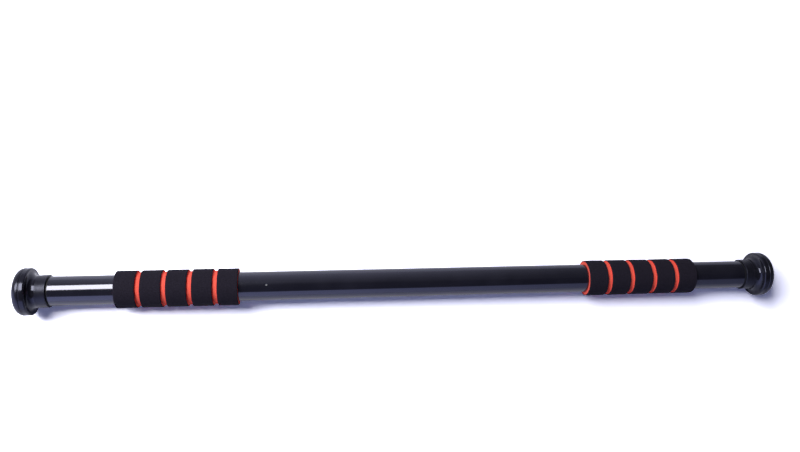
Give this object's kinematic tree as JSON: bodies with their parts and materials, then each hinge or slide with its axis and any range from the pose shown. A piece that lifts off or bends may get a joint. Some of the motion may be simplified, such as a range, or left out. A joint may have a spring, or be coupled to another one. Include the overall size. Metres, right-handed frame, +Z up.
{
  "type": "pull up bar",
  "caption": "Telescopic door pull up bar: a black steel tube with ridged foam grips and rubber end feet, lengthened by twisting it between two jambs.",
  "frame": {"origin": "middle of the bar, on the tube's axis", "axes": "+X along the bar towards the right foot, +Z up through the vent hole, +Y away from the viewer"},
  "size_m": [0.8, 0.048, 0.048],
  "materials": {
    "enamel": "gloss",
    "grip_red": "matt foam",
    "grip_black": "matt foam",
    "foot_rubber": "satin",
    "plug_plastic": "satin",
    "nylon": "matt",
    "tube_steel": "bright zinc",
    "screw_steel": "oiled"
  },
  "bodies": {
    "bar": {"outer_tube": "enamel", "screw_anchor": "screw_steel", "left_grip_core": "grip_red", "left_grip_bands": "grip_black", "left_lead_screw": "screw_steel", "left_screw_pin": "screw_steel", "right_grip_core": "grip_red", "right_grip_bands": "grip_black", "right_lead_screw": "screw_steel", "right_screw_pin": "screw_steel"},
    "left_bush": {"left_mouth_bush": "nylon"},
    "left_end": {"left_inner_tube": "tube_steel", "left_drive_nut": "screw_steel", "left_nut_pins": "screw_steel", "left_tail_bush": "nylon", "left_foot": "foot_rubber", "left_pressure_plate": "screw_steel"},
    "left_plug": {"left_wall_plug": "plug_plastic"},
    "right_bush": {"right_mouth_bush": "nylon"},
    "right_end": {"right_inner_tube": "tube_steel", "right_drive_nut": "screw_steel", "right_nut_pins": "screw_steel", "right_tail_bush": "nylon", "right_foot": "foot_rubber", "right_pressure_plate": "screw_steel"},
    "right_plug": {"right_wall_plug": "plug_plastic"}
  },
  "joints": [
    {"name": "left_twist", "type": "hinge", "parent": "bar", "child": "left_bush", "pos_m": [-0.352, 0, 0], "axis": [-1, 0, 0], "range_deg": [0, 18000]},
    {"name": "left_extension", "type": "slide", "parent": "left_bush", "child": "left_end", "axis": [-1, 0, 0], "range_m": [0, 0.2]},
    {"name": "left_plug_pull", "type": "slide", "parent": "left_end", "child": "left_plug", "axis": [-1, 0, 0], "range_m": [0, 0.012]},
    {"name": "right_twist", "type": "hinge", "parent": "bar", "child": "right_bush", "pos_m": [0.352, 0, 0], "axis": [-1, 0, 0], "range_deg": [0, 18000]},
    {"name": "right_extension", "type": "slide", "parent": "right_bush", "child": "right_end", "axis": [1, 0, 0], "range_m": [0, 0.2]},
    {"name": "right_plug_pull", "type": "slide", "parent": "right_end", "child": "right_plug", "axis": [1, 0, 0], "range_m": [0, 0.012]}
  ],
  "couplings": [
    {"joint": "left_extension", "follows": "left_twist", "m_per_rad": 0.00063662},
    {"joint": "right_extension", "follows": "right_twist", "m_per_rad": 0.00063662}
  ]
}
